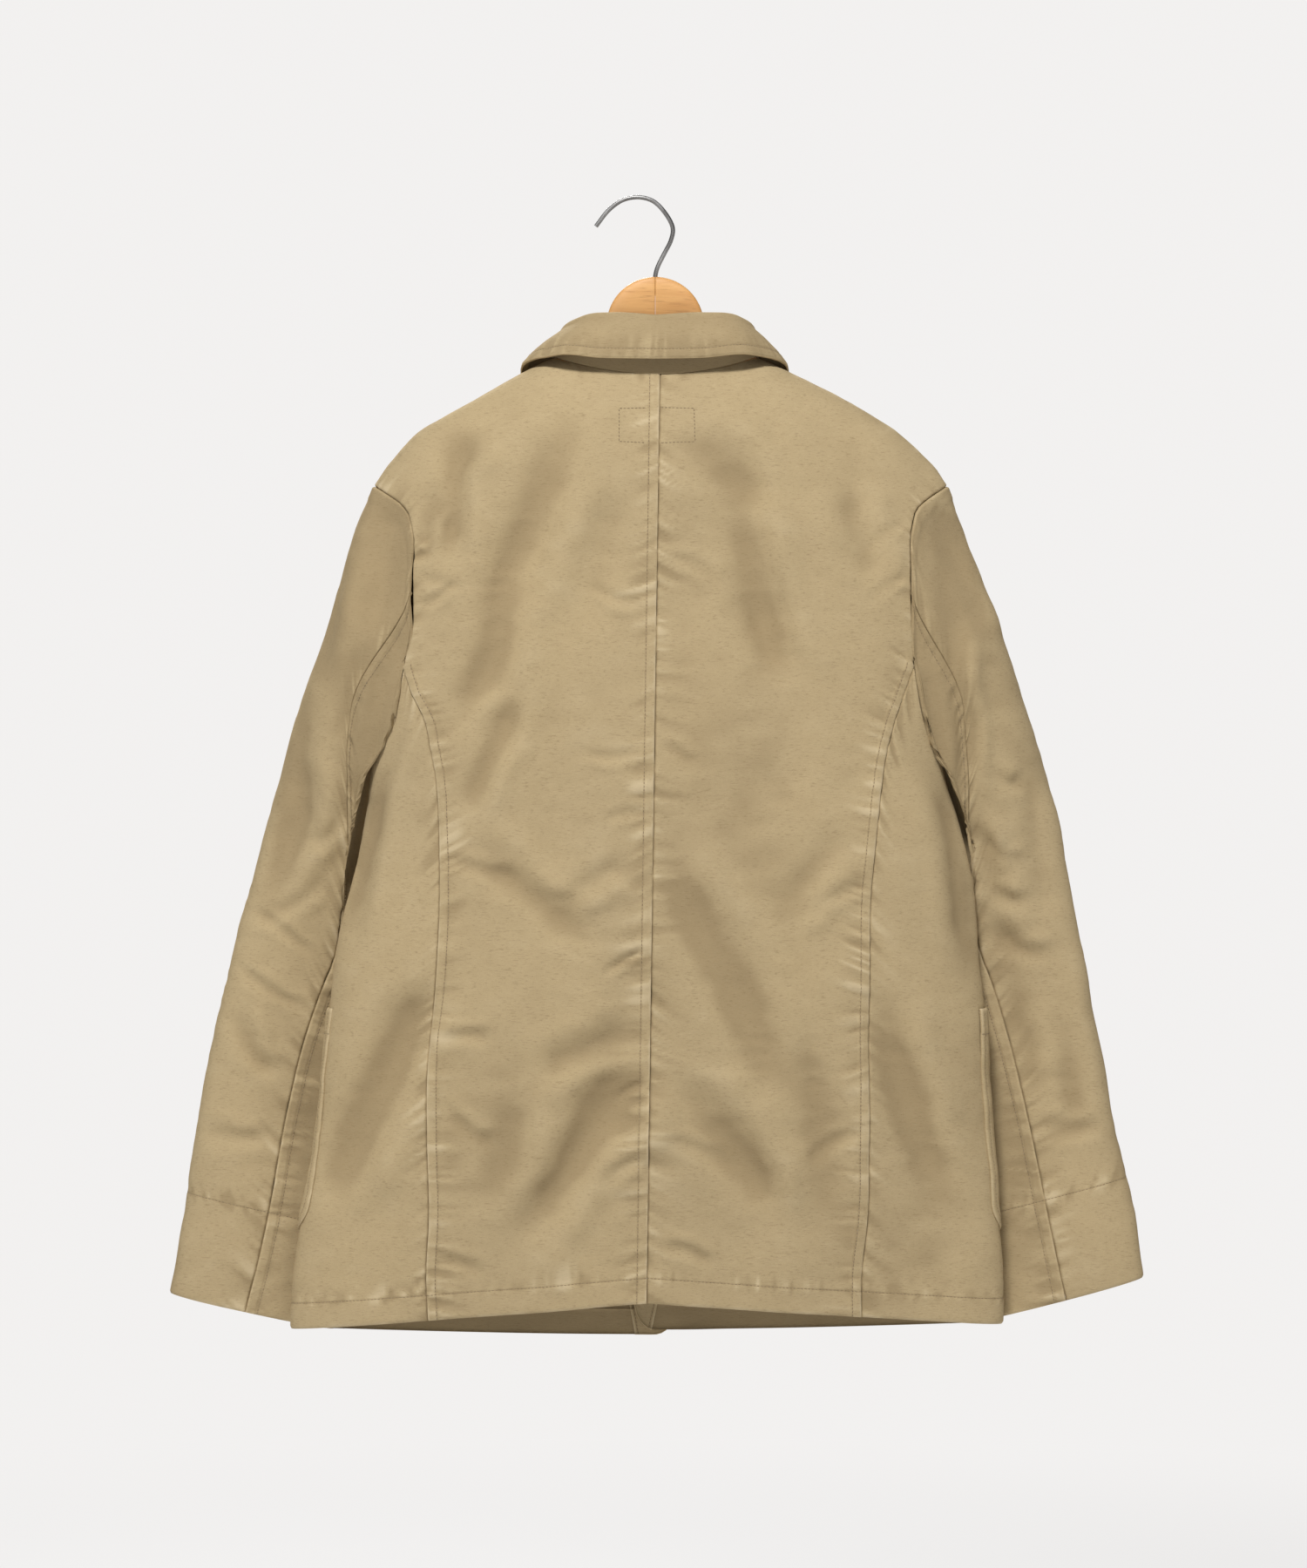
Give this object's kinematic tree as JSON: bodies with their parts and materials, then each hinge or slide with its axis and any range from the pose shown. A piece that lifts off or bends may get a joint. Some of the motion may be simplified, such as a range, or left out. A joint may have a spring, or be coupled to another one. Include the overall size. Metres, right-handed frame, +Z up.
{
  "type": "work jacket on a hanger",
  "caption": "Long-sleeved cotton work jacket with a shirt collar, turned-up cuffs and patch pockets, hanging on a flat wooden hanger with a wire hook.",
  "frame": {"origin": "inner top of the hook, where a rail or peg carries the hanger", "axes": "+Z up, +Y out of the jacket's front, so the back faces -Y, and +X towards its right sleeve"},
  "size_m": [0.7656, 0.154, 0.8924],
  "materials": {
    "cloth": "brushed heavy cotton, soft and matt",
    "hanger_wood": "light wood, thin satin varnish",
    "hook_wire": "bright plated wire",
    "buttons": "dark brown, horn-like"
  },
  "bodies": {
    "root": {"back_left": "cloth", "back_right": "cloth", "side_left": "cloth", "side_right": "cloth", "front_left": "cloth", "front_right": "cloth", "facing_left": "cloth", "facing_right": "cloth", "pocket_left": "cloth", "pocket_right": "cloth", "upper_head_left": "cloth", "upper_head_right": "cloth", "upper_sleeve_left": "cloth", "upper_sleeve_right": "cloth", "upper_cuff_left": "cloth", "upper_cuff_right": "cloth", "under_head_left": "cloth", "under_head_right": "cloth", "under_sleeve_left": "cloth", "under_sleeve_right": "cloth", "under_cuff_left": "cloth", "under_cuff_right": "cloth", "collar": "cloth", "hanger_left": "hanger_wood", "hanger_right": "hanger_wood", "hook": "hook_wire", "button_1": "buttons", "button_2": "buttons", "button_3": "buttons", "button_4": "buttons", "button_5": "buttons"}
  },
  "joints": []
}
